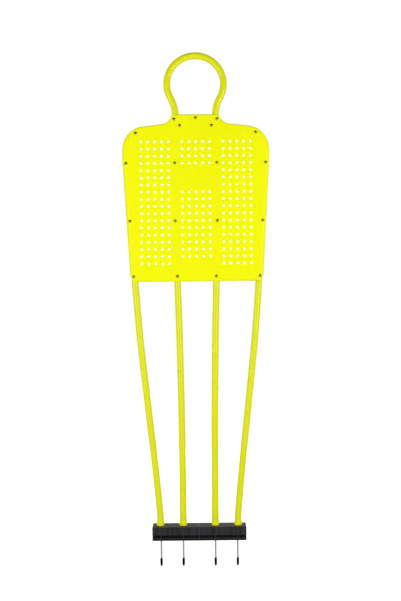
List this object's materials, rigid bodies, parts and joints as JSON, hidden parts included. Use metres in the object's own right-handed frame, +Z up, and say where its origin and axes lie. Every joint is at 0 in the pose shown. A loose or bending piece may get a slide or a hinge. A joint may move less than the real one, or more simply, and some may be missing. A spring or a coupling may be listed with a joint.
{
  "type": "free kick mannequin",
  "caption": "Free kick training mannequin: perforated chest panel on a bent tube frame with a head loop, rebounding in a rubber base held by capped ground spikes.",
  "frame": {"origin": "centre of the rubber base's underside, on the ground surface", "axes": "+Z up, +X to the right seen from the front, and the panel's front face looks along -Y"},
  "size_m": [0.5422, 0.068, 1.8914],
  "materials": {
    "panel_plastic": "moulded polypropylene, fluorescent yellow, semi-gloss",
    "tube_coating": "steel tube with a smooth fluorescent yellow powder coat",
    "collar_plastic": "moulded soft plastic, fluorescent yellow",
    "fastener_steel": "zinc plated steel",
    "spike_steel": "drawn bright steel rod",
    "base_rubber": "moulded black rubber, fine grain, matt",
    "cap_rubber": "smooth black rubber"
  },
  "bodies": {
    "base": {"rubber_base": "base_rubber", "anchor_plate": "fastener_steel", "base_screw": "fastener_steel", "spike_outer_left": "spike_steel", "spike_inner_left": "spike_steel", "spike_inner_right": "spike_steel", "spike_outer_right": "spike_steel"},
    "frame": {"leg_outer_left": "tube_coating", "leg_outer_right": "tube_coating", "leg_inner_left": "tube_coating", "leg_inner_right": "tube_coating", "head_loop": "tube_coating", "leg_collar_outer_left": "collar_plastic", "leg_collar_inner_left": "collar_plastic", "leg_collar_inner_right": "collar_plastic", "leg_collar_outer_right": "collar_plastic", "front_shell": "panel_plastic", "neck_brace": "fastener_steel", "screw_neck_centre": "fastener_steel", "screw_neck_left": "fastener_steel", "screw_neck_right": "fastener_steel", "screw_collarbone_left": "fastener_steel", "screw_collarbone_right": "fastener_steel", "screw_shoulder_left": "fastener_steel", "screw_shoulder_right": "fastener_steel", "screw_chest_outer_left": "fastener_steel", "screw_chest_outer_right": "fastener_steel", "screw_chest_inner_left": "fastener_steel", "screw_chest_inner_right": "fastener_steel", "screw_waist_outer_left": "fastener_steel", "screw_waist_outer_right": "fastener_steel", "screw_waist_inner_left": "fastener_steel", "screw_waist_inner_right": "fastener_steel", "screw_hem_outer_left": "fastener_steel", "screw_hem_outer_right": "fastener_steel", "screw_hem_inner_left": "fastener_steel", "screw_hem_inner_right": "fastener_steel", "nut_neck_centre": "fastener_steel", "nut_neck_left": "fastener_steel", "nut_neck_right": "fastener_steel", "nut_collarbone_left": "fastener_steel", "nut_collarbone_right": "fastener_steel", "nut_shoulder_left": "fastener_steel", "nut_shoulder_right": "fastener_steel", "nut_chest_outer_left": "fastener_steel", "nut_chest_outer_right": "fastener_steel", "nut_chest_inner_left": "fastener_steel", "nut_chest_inner_right": "fastener_steel", "nut_waist_outer_left": "fastener_steel", "nut_waist_outer_right": "fastener_steel", "nut_waist_inner_left": "fastener_steel", "nut_waist_inner_right": "fastener_steel", "nut_hem_outer_left": "fastener_steel", "nut_hem_outer_right": "fastener_steel", "nut_hem_inner_left": "fastener_steel", "nut_hem_inner_right": "fastener_steel"},
    "cap_outer_left": {"spike_cap_outer_left": "cap_rubber"},
    "cap_inner_left": {"spike_cap_inner_left": "cap_rubber"},
    "cap_inner_right": {"spike_cap_inner_right": "cap_rubber"},
    "cap_outer_right": {"spike_cap_outer_right": "cap_rubber"}
  },
  "joints": [
    {"name": "rebound_tilt", "type": "hinge", "parent": "base", "child": "frame", "pos_m": [0, 0, 0.02], "axis": [1, 0, 0], "range_deg": [-15, 15], "stiffness_Nm_per_rad": 500, "deforming": ["rubber_base"]},
    {"name": "cap_outer_left_pull", "type": "slide", "parent": "base", "child": "cap_outer_left", "axis": [0, 0, -1], "range_m": [0, 0.036]},
    {"name": "cap_inner_left_pull", "type": "slide", "parent": "base", "child": "cap_inner_left", "axis": [0, 0, -1], "range_m": [0, 0.036]},
    {"name": "cap_inner_right_pull", "type": "slide", "parent": "base", "child": "cap_inner_right", "axis": [0, 0, -1], "range_m": [0, 0.036]},
    {"name": "cap_outer_right_pull", "type": "slide", "parent": "base", "child": "cap_outer_right", "axis": [0, 0, -1], "range_m": [0, 0.036]}
  ]
}
